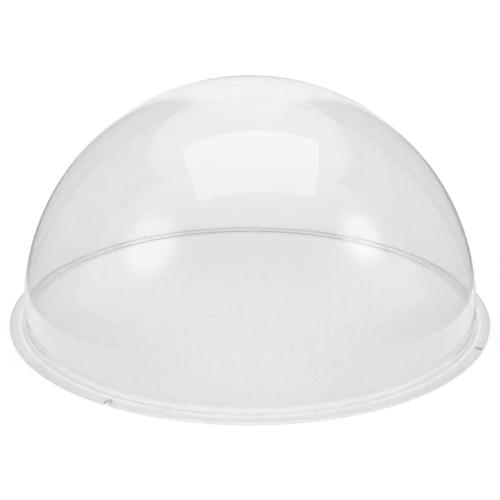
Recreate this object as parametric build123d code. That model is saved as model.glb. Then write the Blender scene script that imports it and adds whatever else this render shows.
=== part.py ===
from build123d import *
import os

# A clear plastic dome, blown from one flat sheet. The sheet's rim is clamped while its middle is
# blown, and the clamped rim is then cut to a flat round flange with four screw notches.
# Millimetres, +Z up. The origin is the middle of the flange's underside, which rests on a table.
# The notches lie on the X and Y axes.

# Overall sizes
flange_diameter = 457.0  # across the flange
overall_height = 219.0  # underside of the flange to the top of the crown
flange_width = 12.7  # edge of the flange to the outside of the dome

# Thickness of the sheet after blowing
sheet_thickness = 2.4  # the clamped flange keeps it
rim_wall = 2.2  # the dome's wall where it leaves the flange
crown_wall = 1.4  # the sheet stretches thinnest at the crown

# Bend and edge
bend_radius = 3.0  # hollow side of the bend between the flange and the dome
edge_break = 0.3  # chamfer on both corners of the flange's cut edge

# Screw notches, open at the flange's edge
notch_count = 4
notch_width = 4.0
notch_depth = 6.5

# Sizes that follow
flange_radius = flange_diameter / 2
dome_radius = flange_radius - flange_width


def dome_line(radius, height):
    """A quarter ellipse from the dome's foot to its crown, as a spline.

    A STEP file keeps a turned spline whether the dome is taller or flatter than a hemisphere.
    """
    return EllipticalCenterArc((0, 0), radius, height, arc_size=90).to_splines()


def bend(line, face_height, radius):
    """The arc that rounds the corner between a flat face of the flange and a dome line."""
    face = Line((0, face_height), (flange_radius, face_height))
    arcs = Edge.make_constrained_arcs(line, face, radius=radius)
    return arcs.sort_by(Axis.X)[-1]


def wall_line(radius, height, face_height, bend_size):
    """One side of the sheet: the bend's arc and the dome line above it, and the arc's foot."""
    line = dome_line(radius, height)
    arc = bend(line, face_height, bend_size)
    foot, top = arc.vertices().sort_by(Axis.Y)
    return [arc, line.trim(top.center(), 1)], foot.center()


def section():
    """Half of the sheet's section, standing on the XZ plane."""
    outside, upper_foot = wall_line(dome_radius, overall_height, sheet_thickness, bend_radius)
    inside, lower_foot = wall_line(
        dome_radius - rim_wall, overall_height - crown_wall, 0, bend_radius + sheet_thickness
    )
    flange = Polyline(
        upper_foot,
        (flange_radius - edge_break, sheet_thickness),
        (flange_radius, sheet_thickness - edge_break),
        (flange_radius, edge_break),
        (flange_radius - edge_break, 0),
        lower_foot,
    )
    crown = Line((0, overall_height - crown_wall), (0, overall_height))
    return Plane.XZ * make_face([*outside, *inside, *flange.edges(), crown])


def notch_cutter():
    """One notch on the +X side: a slot with a round inner end, run out past the edge."""
    slot = SlotOverall(2 * notch_depth, notch_width)
    return Pos(X=flange_radius) * extrude(slot, sheet_thickness)


def flanged_dome():
    """The section turned round the Z axis, less the notches."""
    dome = revolve(section(), Axis.Z)
    for notch in range(notch_count):
        dome -= Rot(Z=notch * 360 / notch_count) * notch_cutter()
    return dome


os.makedirs("parts", exist_ok=True)
export_step(flanged_dome(), "parts/flanged_dome.step")
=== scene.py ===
import math

import bmesh
import bpy
from mathutils import Matrix, Vector


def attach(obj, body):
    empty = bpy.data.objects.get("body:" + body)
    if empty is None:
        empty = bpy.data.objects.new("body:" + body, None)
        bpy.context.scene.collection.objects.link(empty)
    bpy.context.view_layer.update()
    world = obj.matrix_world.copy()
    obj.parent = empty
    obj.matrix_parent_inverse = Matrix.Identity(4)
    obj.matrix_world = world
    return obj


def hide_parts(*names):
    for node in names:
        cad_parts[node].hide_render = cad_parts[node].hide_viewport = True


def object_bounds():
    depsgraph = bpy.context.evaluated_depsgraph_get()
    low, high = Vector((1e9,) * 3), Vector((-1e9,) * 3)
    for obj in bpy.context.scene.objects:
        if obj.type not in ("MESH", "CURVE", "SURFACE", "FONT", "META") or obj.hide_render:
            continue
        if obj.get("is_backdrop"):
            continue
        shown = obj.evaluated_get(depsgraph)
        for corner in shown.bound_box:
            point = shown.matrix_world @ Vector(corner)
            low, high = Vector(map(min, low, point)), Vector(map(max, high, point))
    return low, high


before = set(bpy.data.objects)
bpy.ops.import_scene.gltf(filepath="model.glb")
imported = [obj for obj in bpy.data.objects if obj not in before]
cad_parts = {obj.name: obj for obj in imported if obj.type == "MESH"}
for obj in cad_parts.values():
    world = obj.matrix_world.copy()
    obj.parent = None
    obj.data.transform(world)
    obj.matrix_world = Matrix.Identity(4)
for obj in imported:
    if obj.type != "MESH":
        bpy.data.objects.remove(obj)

cad_low, cad_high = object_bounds()

# ---- The moulding --------------------------------------------------------------------------
# One piece of clear acrylic: a flat sheet clamped by its rim and blown to a hemisphere, so the
# wall thins from the foot to the crown and turns through a small bend into the flat flange.
# It is made here as the sheet's outer skin, then given its wall and cut like the real one.

MM = 0.001
flange_radius = 228.5 * MM
height = cad_high.z
flange_width = 12.7 * MM
sheet = 2.4 * MM
foot_wall = 2.2 * MM
crown_wall = 1.4 * MM
bend = 3.0 * MM
dome_radius = flange_radius - flange_width
around = 256  # faces round the dome
up = 76  # rings from the foot to the crown
bend_steps = 24
edge_break = 0.3 * MM  # the chamfer on both corners of the sawn edge
same = 0.001 * MM  # points nearer than this are one point
skirt = 7.0 * MM  # the band above the flange that holds the bend


def edit(thing):
    """Edit one object alone, with nothing in it selected."""
    bpy.ops.object.select_all(action="DESELECT")
    thing.select_set(True)
    bpy.context.view_layer.objects.active = thing
    bpy.ops.object.mode_set(mode="EDIT")
    bpy.ops.mesh.select_all(action="DESELECT")
    return bmesh.from_edit_mesh(thing.data)


def pick(mesh, thing, parts, wanted):
    """Select the vertices, edges or faces of a mesh in edit mode that pass a test."""
    bpy.ops.mesh.select_all(action="DESELECT")
    for part in parts:
        if wanted(part):
            part.select_set(True)
    mesh.select_flush_mode()
    bmesh.update_edit_mesh(thing.data)


def done():
    """Leave edit mode."""
    bpy.ops.object.mode_set(mode="OBJECT")


def finish_with(thing, kind, **settings):
    """Add one modifier with its settings and apply it."""
    bpy.ops.object.select_all(action="DESELECT")
    thing.select_set(True)
    bpy.context.view_layer.objects.active = thing
    modifier = thing.modifiers.new(kind.lower(), kind)
    for name, value in settings.items():
        setattr(modifier, name, value)
    bpy.ops.object.modifier_apply(modifier=modifier.name)


def on_ring(z):
    """A test for edges that lie at one height."""
    return lambda edge: all(abs(v.co.z - z) < same for v in edge.verts)


def dome_radius_at(z):
    """The radius of the dome's outside at one height."""
    return dome_radius * math.sqrt(1 - (z / height) ** 2)


bpy.ops.object.select_all(action="DESELECT")
bpy.ops.mesh.primitive_uv_sphere_add(segments=around, ring_count=2 * up, radius=1)
dome = bpy.context.object
dome.name = "dome"
edit(dome)
bpy.ops.mesh.select_all(action="SELECT")
bpy.ops.transform.resize(value=(dome_radius, dome_radius, height))
bpy.ops.mesh.bisect(plane_co=(0, 0, skirt), plane_no=(0, 0, 1), clear_inner=True)

# the foot runs down to the flange, and the rim of the sheet runs out flat from it
mesh = bmesh.from_edit_mesh(dome.data)
pick(mesh, dome, mesh.edges, on_ring(skirt))
bpy.ops.mesh.extrude_edges_move(TRANSFORM_OT_translate={"value": (0, 0, sheet - skirt)})
foot = dome_radius_at(sheet) / dome_radius_at(skirt)
bpy.ops.transform.resize(value=(foot, foot, 1), center_override=(0, 0, sheet))
bpy.ops.mesh.extrude_edges_move(TRANSFORM_OT_translate={"value": (0, 0, 0)})
out = flange_radius / dome_radius_at(sheet)
bpy.ops.transform.resize(value=(out, out, 1), center_override=(0, 0, sheet))

# the corner between them is a bend, not a fold
mesh = bmesh.from_edit_mesh(dome.data)
corner = dome_radius_at(sheet)
pick(
    mesh,
    dome,
    mesh.edges,
    lambda e: on_ring(sheet)(e) and all(v.co.xy.length < corner + same for v in e.verts),
)
bpy.ops.mesh.bevel(offset=bend, segments=bend_steps, affect="EDGES")
bpy.ops.mesh.select_all(action="SELECT")
bpy.ops.mesh.remove_doubles(threshold=same)
bpy.ops.mesh.normals_make_consistent(inside=False)
done()

# the wall's thickness, as a share of the sheet's
wall = dome.vertex_groups.new(name="wall")
for v in dome.data.vertices:
    start = foot_wall if v.co.z > sheet + bend else sheet
    thickness = start + (crown_wall - start) * (v.co.z / height) ** 2
    wall.add([v.index], thickness / sheet, "REPLACE")
finish_with(
    dome,
    "SOLIDIFY",
    thickness=sheet,
    offset=-1,
    use_even_offset=True,
    vertex_group="wall",
)

# both corners of the sawn edge are broken with a scraper before the notches are cut
mesh = edit(dome)
pick(
    mesh,
    dome,
    mesh.edges,
    lambda e: all(v.co.xy.length > flange_radius - 10 * same for v in e.verts)
    and abs(e.verts[0].co.z - e.verts[1].co.z) < same,
)
bpy.ops.mesh.bevel(offset=edge_break, segments=2, affect="EDGES")
done()

# four notches are routed in from the flange's edge, a quarter turn apart, for small screws
notch_count = 4
notch_width = 4.0 * MM
notch_depth = 6.5 * MM
notch_end = flange_radius - notch_depth
overrun = 2.0 * MM  # how far the cutter passes the sheet on every side

bpy.ops.object.select_all(action="DESELECT")
bpy.ops.mesh.primitive_cube_add(size=1)
cutter = bpy.context.object
mesh = edit(cutter)
bpy.ops.mesh.select_all(action="SELECT")
bpy.ops.transform.resize(value=(notch_depth + overrun, notch_width, sheet + 2 * overrun))
middle = flange_radius + (overrun - notch_depth) / 2
bpy.ops.transform.translate(value=(middle, 0, sheet / 2))
pick(
    mesh,
    cutter,
    mesh.edges,
    lambda e: all(v.co.x < notch_end + same for v in e.verts)
    and abs(e.verts[0].co.z - e.verts[1].co.z) > sheet,
)
bpy.ops.mesh.bevel(offset=notch_width / 2, segments=10, affect="EDGES")
bpy.ops.mesh.select_all(action="SELECT")
bpy.ops.mesh.remove_doubles(threshold=same)
bpy.ops.mesh.dissolve_degenerate(threshold=same)
done()
for turn in range(notch_count):
    cutter.rotation_euler.z = turn * math.tau / notch_count
    bpy.context.view_layer.update()
    finish_with(dome, "BOOLEAN", object=cutter, operation="DIFFERENCE", solver="EXACT")
bpy.data.objects.remove(cutter)
bpy.ops.object.shade_smooth_by_angle(angle=math.radians(35))
finish_with(dome, "WEIGHTED_NORMAL", keep_sharp=True)

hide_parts("flanged_dome")
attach(dome, "root")


class Value:
    """A node's output, with arithmetic that adds Math nodes."""

    def __init__(self, graph, socket):
        self.graph = graph
        self.socket = socket

    def math(self, operation, *others, first=None):
        inputs = [self, *others] if first is None else [first, self]
        made = dict(enumerate(inputs))
        return self.graph.add("ShaderNodeMath", {"operation": operation}, made)

    def __add__(self, other):
        return self.math("ADD", other)

    def __sub__(self, other):
        return self.math("SUBTRACT", other)

    def __mul__(self, other):
        return self.math("MULTIPLY", other)

    def __truediv__(self, other):
        return self.math("DIVIDE", other)

    def __rsub__(self, other):
        return self.math("SUBTRACT", first=other)

    __radd__ = __add__
    __rmul__ = __mul__

    def over(self, other):
        """1 where this is greater than the other, and 0 elsewhere."""
        return self.math("GREATER_THAN", other)

    def rise(self, start, end):
        """A smooth step from 0 at start to 1 at end."""
        made = {"Value": self, "From Min": start, "From Max": end}
        return self.graph.add("ShaderNodeMapRange", {"interpolation_type": "SMOOTHSTEP"}, made)


class Graph:
    """The node tree of one material or of the world."""

    def __init__(self, owner):
        owner.use_nodes = True
        self.tree = owner.node_tree
        self.tree.nodes.clear()

    def add(self, kind, settings=None, inputs=None, output=0):
        """Add a node, set it up, fill or link its inputs and give one of its outputs."""
        node = self.tree.nodes.new(kind)
        for name, value in (settings or {}).items():
            setattr(node, name, value)
        for name, value in (inputs or {}).items():
            if isinstance(value, Value):
                self.tree.links.new(value.socket, node.inputs[name])
            else:
                node.inputs[name].default_value = value
        return Value(self, node.outputs[output]) if node.outputs else None

    def mix(self, factor, low, high):
        """Mix two colours."""
        made = {"Factor": factor, "A": low, "B": high}
        node = self.add("ShaderNodeMix", {"data_type": "RGBA"}).socket.node
        for name, value in made.items():
            socket = [s for s in node.inputs if s.name == name and s.enabled][0]
            if isinstance(value, Value):
                self.tree.links.new(value.socket, socket)
            else:
                socket.default_value = value
        return Value(self, [s for s in node.outputs if s.enabled][0])


def clear_acrylic():
    """Blown sheet: clear with a grey cast, faintly rippled, with dust, lint and hairlines."""
    material = bpy.data.materials.new("clear_acrylic")
    g = Graph(material)
    place = g.add("ShaderNodeTexCoord", output="Object")
    rise = g.add("ShaderNodeSeparateXYZ", inputs={"Vector": place}, output="Z")
    low = 1 - rise.rise(0.03, 0.17)  # dust settles on the lower wall and on the flange

    # specks of dust: one small round spot in some of the cells, which are 3 mm wide
    grain = {"Vector": place, "Scale": 330.0}
    cells = g.add("ShaderNodeTexVoronoi", inputs=grain)
    chance = g.add("ShaderNodeTexVoronoi", inputs=grain, output="Color")
    size = g.add("ShaderNodeSeparateColor", inputs={"Color": chance}, output="Red")
    lucky = g.add("ShaderNodeSeparateColor", inputs={"Color": chance}, output="Green")
    patches = g.add("ShaderNodeTexNoise", inputs={"Vector": place, "Scale": 14.0, "Detail": 2.0})
    crowd = 0.08 + 0.6 * low * patches.rise(0.30, 0.62)
    specks = crowd.over(lucky) * (1 - (cells / (0.08 + 0.12 * size)).rise(0.5, 1.0))

    # lint: short crooked fibres, where a winding line crosses a sparse spot
    winding = g.add("ShaderNodeTexNoise", inputs={"Vector": place, "Scale": 120.0, "Detail": 1.5})
    spots = g.add(
        "ShaderNodeTexNoise",
        {"noise_dimensions": "4D"},
        {"Vector": place, "W": 3.7, "Scale": 90.0},
    )
    line = 1 - (winding - 0.5).math("ABSOLUTE").rise(0.0, 0.012)
    lint = line * spots.rise(0.48, 0.56) * low

    # hairlines from wiping: noise drawn out along two directions
    scratches = None
    for angles in ((0.3, 0.2, 0.5), (-0.4, 0.6, 1.9)):
        drawn = g.add(
            "ShaderNodeMapping", inputs={"Vector": place, "Rotation": angles, "Scale": (1, 24, 24)}
        )
        thin = g.add("ShaderNodeTexNoise", inputs={"Vector": drawn, "Scale": 34.0, "Detail": 1.0})
        hair = 1 - (thin - 0.5).math("ABSOLUTE").rise(0.0, 0.012)
        scratches = hair if scratches is None else scratches.math("MAXIMUM", hair)
    broken = g.add("ShaderNodeTexNoise", inputs={"Vector": place, "Scale": 26.0})
    scratches = scratches * broken.rise(0.6, 0.72)

    # a film of the finest dust, which shows as a faint mottle
    film = g.add(
        "ShaderNodeTexNoise",
        inputs={"Vector": place, "Scale": 230.0, "Detail": 3.0, "Roughness": 0.7},
    )
    film = film.rise(0.40, 0.68) * (0.25 + 0.75 * low)

    dirt = (specks * 0.7).math("MAXIMUM", lint * 0.5)

    # the grey cast follows the sheet's thickness; the bend, though as thick as the flange, is
    # painted nearly clear, as painted light that lightens the dark lines it shows
    wall_tone = g.mix(rise.rise(0.0, 0.15), (0.868, 0.872, 0.872, 1), (0.894, 0.897, 0.897, 1))
    x = g.add("ShaderNodeSeparateXYZ", inputs={"Vector": place}, output="X")
    y = g.add("ShaderNodeSeparateXYZ", inputs={"Vector": place}, output="Y")
    reach = (x * x + y * y).math("SQRT")
    flat = reach.rise(flange_radius - 9 * MM, flange_radius - 7 * MM)
    # painted light: the bend's colour is lifted to nearly clear
    bend_painted_light = (1 - rise.rise(4 * MM, 9 * MM)) * (1 - flat)
    tone_with_painted_light = g.mix(bend_painted_light, wall_tone, (0.99, 0.99, 0.99, 1))
    dusty = g.mix(film * 0.25, tone_with_painted_light, (0.80, 0.80, 0.795, 1))
    clear = g.mix(scratches * 0.3, dusty, (0.78, 0.78, 0.78, 1))
    colour = g.mix(dirt, clear, (0.62, 0.61, 0.60, 1))

    ripple = g.add("ShaderNodeTexNoise", inputs={"Vector": place, "Scale": 8.0, "Detail": 1.0})
    bump = g.add(
        "ShaderNodeBump",
        inputs={"Height": ripple - 0.01 * scratches, "Strength": 1.0, "Distance": 0.0002},
    )
    body = g.add(
        "ShaderNodeBsdfPrincipled",
        inputs={
            "Base Color": colour,
            "Roughness": dirt * 0.35 + scratches * 0.04,
            "IOR": 1.49,
            "Transmission Weight": 1.0,
            "Normal": bump,
        },
    )
    g.add("ShaderNodeOutputMaterial", inputs={"Surface": body})
    return material


def sawn_acrylic():
    """The sheet's cut edge: frosted by the saw and the scraper, with fine upright tool marks."""
    material = bpy.data.materials.new("sawn_acrylic")
    g = Graph(material)
    place = g.add("ShaderNodeTexCoord", output="Object")
    across = g.add("ShaderNodeSeparateXYZ", inputs={"Vector": place}, output="X")
    along = g.add("ShaderNodeSeparateXYZ", inputs={"Vector": place}, output="Y")
    turned = across.math("ARCTAN2", along)
    marks = g.add(
        "ShaderNodeTexNoise",
        {"noise_dimensions": "1D"},
        {"W": turned * 220.0, "Scale": 1.0, "Detail": 3.0, "Roughness": 0.6},
    )
    chips = g.add("ShaderNodeTexNoise", inputs={"Vector": place, "Scale": 900.0, "Detail": 2.0})
    frost = 0.3 + 0.3 * marks
    colour = g.mix(chips.rise(0.6, 0.7) * 0.5, (0.86, 0.865, 0.865, 1), (0.70, 0.71, 0.71, 1))
    bump = g.add(
        "ShaderNodeBump",
        inputs={"Height": marks + 0.4 * chips, "Strength": 0.5, "Distance": 0.0001},
    )
    body = g.add(
        "ShaderNodeBsdfPrincipled",
        inputs={
            "Base Color": colour,
            "Roughness": frost,
            "IOR": 1.49,
            "Transmission Weight": 0.3,
            "Normal": bump,
        },
    )
    g.add("ShaderNodeOutputMaterial", inputs={"Surface": body})
    return material


dome.data.materials.clear()
dome.data.materials.append(clear_acrylic())
dome.data.materials.append(sawn_acrylic())
for face in dome.data.polygons:
    reach = face.center.xy.length
    edge = reach > flange_radius - edge_break
    notch = reach > notch_end - edge_break and abs(face.normal.z) < 0.5
    face.material_index = 1 if edge or notch else 0

# ---- The table -----------------------------------------------------------------------------
# A strip of white paper that tapers away from the camera, with a painted shade under the dome's
# far wall. It ends a little outside the
#  flange at both sides, so the dome's lower edges mirror the dark room beyond it.

view_turn = math.radians(28.5)  # the camera's place round the dome, from -Y towards +X

paper_width = 0.72
paper_length = 2.66
paper_middle = 0.57  # away from the dome, as the camera sees it
far_width = 0.3  # of the width, at the far end
gap = 0.2 * MM  # keeps the paper's face clear of the flange's

bpy.ops.object.select_all(action="DESELECT")
bpy.ops.mesh.primitive_plane_add(size=1)
table = bpy.context.object
table.name = "table"
mesh = edit(table)
bpy.ops.mesh.select_all(action="SELECT")
bpy.ops.transform.resize(value=(paper_width, paper_length, 1))
pick(mesh, table, mesh.verts, lambda v: v.co.y > 0)
bpy.ops.transform.resize(value=(far_width, 1, 1), center_override=(0, 0, 0))
bpy.ops.mesh.select_all(action="SELECT")
bpy.ops.transform.translate(value=(0, paper_middle, -gap))
done()
table.rotation_euler.z = view_turn
bpy.ops.object.transform_apply(location=False, rotation=True, scale=False)

# a faint painted shade: the paper's colour is darker under the middle of the dome's far wall
table_paint_and_painted_shade = bpy.data.materials.new("table_paint_and_painted_shade")
g = Graph(table_paint_and_painted_shade)
place = g.add("ShaderNodeTexCoord", output="Object")
x = g.add("ShaderNodeSeparateXYZ", inputs={"Vector": place}, output="X")
y = g.add("ShaderNodeSeparateXYZ", inputs={"Vector": place}, output="Y")
away = y * math.cos(view_turn) - x * math.sin(view_turn)
aside = (x * math.cos(view_turn) + y * math.sin(view_turn)).math("ABSOLUTE")
shade = away.rise(-0.05, 0.19) * (1 - away.rise(0.2, 0.25)) * (1 - aside.rise(0.05, 0.15))
# the paper's white, with the painted shade mixed into it
paper_and_painted_shade = g.mix(shade, (0.9, 0.9, 0.9, 1), (0.82, 0.82, 0.82, 1))
paint = g.add("ShaderNodeBsdfDiffuse", inputs={"Color": paper_and_painted_shade})
g.add("ShaderNodeOutputMaterial", inputs={"Surface": paint})
table.data.materials.append(table_paint_and_painted_shade)
table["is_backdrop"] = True

# ---- The studio ----------------------------------------------------------------------------
# One softbox above, a lamp on each side of the camera, a white sweep behind and a dark room
# at both sides, which is what draws the dome's edges.


def from_camera(across, away, rise):
    """A place given as seen from the camera: to its right, away from it and up."""
    return Matrix.Rotation(view_turn, 3, "Z") @ Vector((across, away, rise))


def softbox(name, place, target, width, depth, level, turn):
    """A flat lamp of a given brightness, facing a point."""
    lamp = bpy.data.lights.new(name, "AREA")
    lamp.shape = "RECTANGLE"
    lamp.size = width
    lamp.size_y = depth
    lamp.energy = level * math.pi * width * depth
    thing = bpy.data.objects.new(name, lamp)
    bpy.context.scene.collection.objects.link(thing)
    aim = (place - target).to_track_quat("Z", "Y").to_matrix().to_4x4()
    thing.matrix_world = Matrix.Translation(place) @ aim @ Matrix.Rotation(turn, 4, "Z")
    thing.visible_camera = False
    return thing


box_level = 1.25
box_place = from_camera(0.025, -0.115, 1.0)
below_box = box_place - Vector((0, 0, 1))
box_turn = view_turn + math.radians(5)
box = softbox("overhead_softbox", box_place, below_box, 0.90, 0.59, box_level, box_turn)
box.visible_diffuse = False  # a small lamp seen through the dome gives only grain
box.visible_transmission = False

# how bright each side of the room is
left_level = 1.5
right_level = 1.9
white_level = 1.02  # seen directly and through the plastic
paper_level = 1.38  # as it lights the paper
backdrop_level = 0.97
side_level = 0.62
front_level = 0.93
ceiling_level = 1.3
under_level = 0.62

# directions are taken from the camera's side: turned is 0 towards it and 180 degrees behind
world = bpy.data.worlds.new("studio")
bpy.context.scene.world = world
g = Graph(world)
facing = g.add("ShaderNodeTexCoord", output="Generated")
facing = g.add(
    "ShaderNodeVectorRotate",
    {"rotation_type": "Z_AXIS"},
    {"Vector": facing, "Angle": -view_turn},
)
across = g.add("ShaderNodeSeparateXYZ", inputs={"Vector": facing}, output="X")
away = g.add("ShaderNodeSeparateXYZ", inputs={"Vector": facing}, output="Y")
rise = g.add("ShaderNodeSeparateXYZ", inputs={"Vector": facing}, output="Z")
turned = across.math("ARCTAN2", -1 * away).math("ABSOLUTE")
high = rise.math("ARCSINE")

# the white sweep is narrow, and the dark sides end above at a line that falls towards it
behind = turned.rise(math.radians(160), math.radians(167))
beside = turned.rise(math.radians(89), math.radians(94))
side_top = math.radians(55) - 0.27 * (turned - math.radians(92))
beside = beside * (1 - high.rise(side_top - 0.02, side_top + 0.02)) * (1 - behind)
room = front_level + high.rise(0.5, 1.3) * (ceiling_level - front_level)
room = room + beside * (side_level - room)
back = backdrop_level + high.rise(0.1, 0.9) * (ceiling_level - backdrop_level)
room = room + behind * (back - room)
under = (1 - high.rise(-0.02, 0.01)) * (1 - turned.rise(math.radians(160), math.radians(164)))
floor_level = 1.1 * front_level + turned.rise(0.5, 1.3) * (under_level - 1.1 * front_level)
room = room + under * (floor_level - room)


def glow(direction, inner, outer):
    """A soft round lamp in the room: 1 at its middle, falling to 0."""
    made = {0: facing, 1: direction}
    cosine = g.add("ShaderNodeVectorMath", {"operation": "DOT_PRODUCT"}, made, "Value")
    return 1 - cosine.math("ARCCOSINE").rise(math.radians(inner), math.radians(outer))


room = room + left_level * glow((-0.718, -0.389, 0.577), 7, 18)
room = room + right_level * glow((0.778, -0.272, 0.566), 4, 15)
mirrored = g.add("ShaderNodeLightPath", output="Glossy Depth")
# what is mirrored twice or more inside the sheet is nearly as white as the sweep
glossy = mirrored.over(0.5) - 0.8 * mirrored.over(1.5)
diffuse = g.add("ShaderNodeLightPath", output="Diffuse Depth").over(0.5)
seen = white_level + glossy * (room - white_level)
level = seen + diffuse * (paper_level * (1 - 0.85 * beside) - seen)
light = g.add("ShaderNodeBackground", inputs={"Color": (1, 1, 1, 1), "Strength": level})
g.add("ShaderNodeOutputWorld", inputs={"Surface": light})

# ---- The camera ----------------------------------------------------------------------------
# It stands 0.8 m away and looks down on the dome. Light crosses four walls on its way to it, so
# the renderer gets more bounces, and no blur that would darken the inside.

distance = 3.526 * flange_radius
view_height = math.radians(23.1)
tilt_up = math.radians(3.61)
camera = bpy.data.objects.new("camera", bpy.data.cameras.new("camera"))
bpy.context.scene.collection.objects.link(camera)
camera.data.lens = 58.5
camera.data.sensor_width = 36
camera.location = from_camera(
    0, -distance * math.cos(view_height), distance * math.sin(view_height)
)
camera.rotation_euler = (math.pi / 2 - view_height + tilt_up, 0, view_turn)
bpy.context.scene.camera = camera
bpy.context.scene.view_settings.view_transform = "Standard"
cycles = bpy.context.scene.cycles
cycles.blur_glossy = 0
cycles.max_bounces = 24
cycles.glossy_bounces = 16
cycles.transmission_bounces = 24

low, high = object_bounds()
